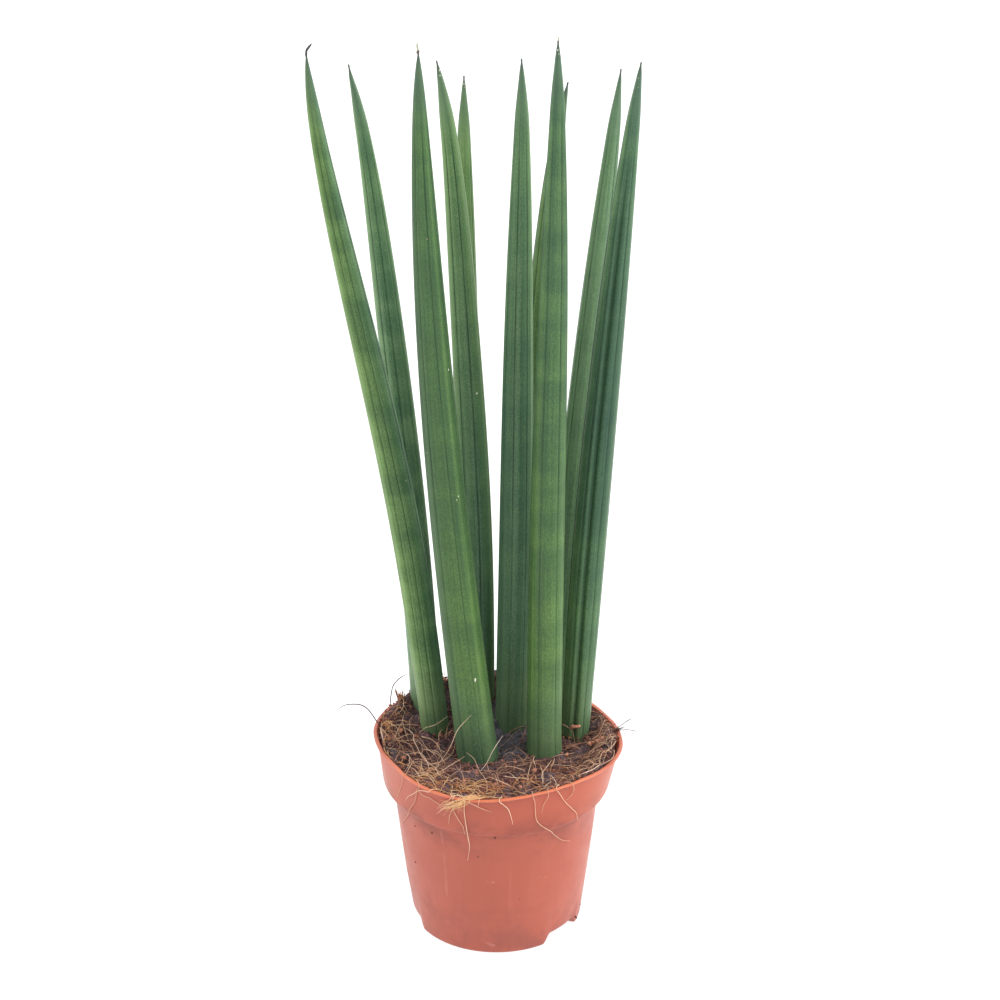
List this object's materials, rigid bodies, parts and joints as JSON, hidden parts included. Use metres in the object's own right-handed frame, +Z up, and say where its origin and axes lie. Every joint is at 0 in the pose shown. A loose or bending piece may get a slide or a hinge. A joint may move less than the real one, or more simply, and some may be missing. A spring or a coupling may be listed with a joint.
{
  "type": "cylindrical snake plant in a nursery pot",
  "caption": "Potted succulent with upright round tapering leaves in coir potting mix, held by a thin moulded nursery pot with a flared collar and a notched foot.",
  "frame": {"origin": "centre of the pot's flat underside, on the surface that it stands on", "axes": "+Z up along the pot's axis and the leaves, -Y towards the front view, +X to the right of the front view"},
  "size_m": [0.1454, 0.1202, 0.4465],
  "materials": {
    "pot": "satin",
    "potting_mix": "matte",
    "leaf": "satin",
    "husk": "matte"
  },
  "bodies": {
    "root": {"pot": "pot", "potting_mix": "potting_mix", "leaf_far_left": "leaf", "leaf_left_rear": "leaf", "leaf_front_left": "leaf", "leaf_centre_left": "leaf", "leaf_rear_left": "leaf", "leaf_centre": "leaf", "leaf_front_right": "leaf", "leaf_rear_centre": "leaf", "leaf_right_rear": "leaf", "leaf_far_right": "leaf", "husk_chip_left": "husk", "husk_chip_front": "husk", "husk_chip_centre": "husk", "husk_chip_right": "husk"}
  },
  "joints": []
}
